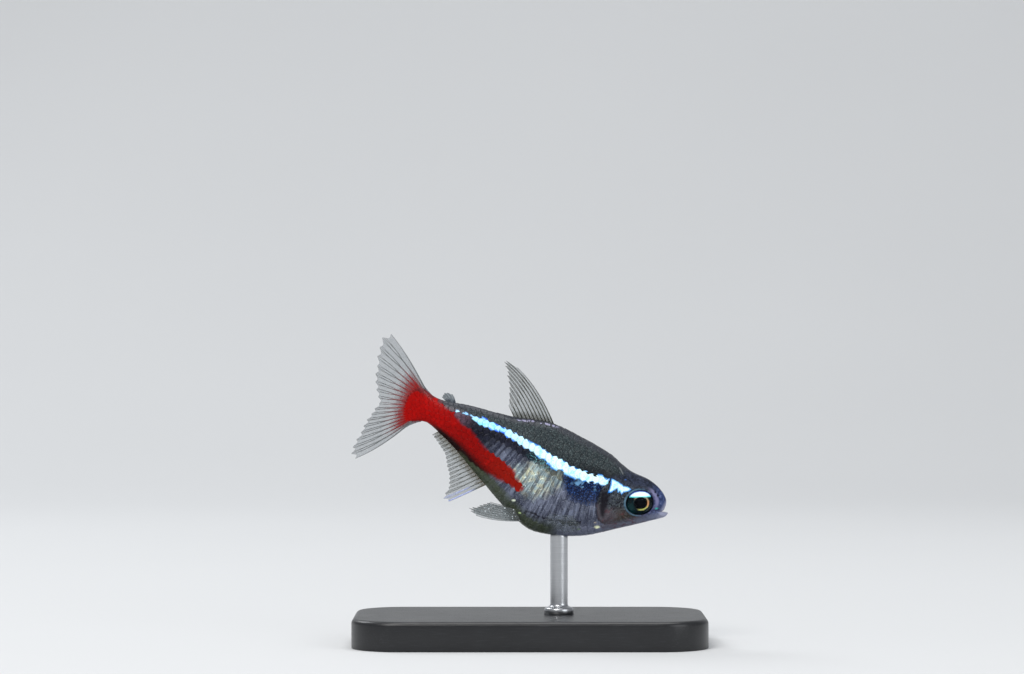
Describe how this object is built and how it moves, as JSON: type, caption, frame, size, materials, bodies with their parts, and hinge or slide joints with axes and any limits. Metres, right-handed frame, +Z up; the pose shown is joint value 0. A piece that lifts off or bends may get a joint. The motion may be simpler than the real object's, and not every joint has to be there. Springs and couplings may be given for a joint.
{
  "type": "neon tetra display model",
  "caption": "Life-size still neon tetra, swimming nose down with its tail to one side, held over a flat base by a slim rod.",
  "frame": {"origin": "centre of the stand base's flat underside", "axes": "+X the way the fish faces, +Y to the fish's left, +Z up"},
  "size_m": [0.0366, 0.02, 0.0318],
  "materials": {
    "skin": "wet scaled skin: olive-grey back, blue-white stripe, red rear half, silver belly",
    "eye": "glossy wet eye, black pupil in a thin gold ring, blue-green iris",
    "fin": "clear thin fin with fine rays",
    "stand_base": "satin black",
    "stand_rod": "brushed"
  },
  "bodies": {
    "root": {"adipose_fin": "fin", "anal_fin": "fin", "dorsal_fin": "fin", "eye_left": "eye", "eye_right": "eye", "gill_cover_left": "skin", "gill_cover_right": "skin", "head": "skin", "pectoral_fin_left": "fin", "pectoral_fin_right": "fin", "pelvic_fin_left": "fin", "pelvic_fin_right": "fin", "stand_base": "stand_base", "stand_rod": "stand_rod", "tail": "skin", "tail_fin": "fin", "trunk": "skin"}
  },
  "joints": []
}
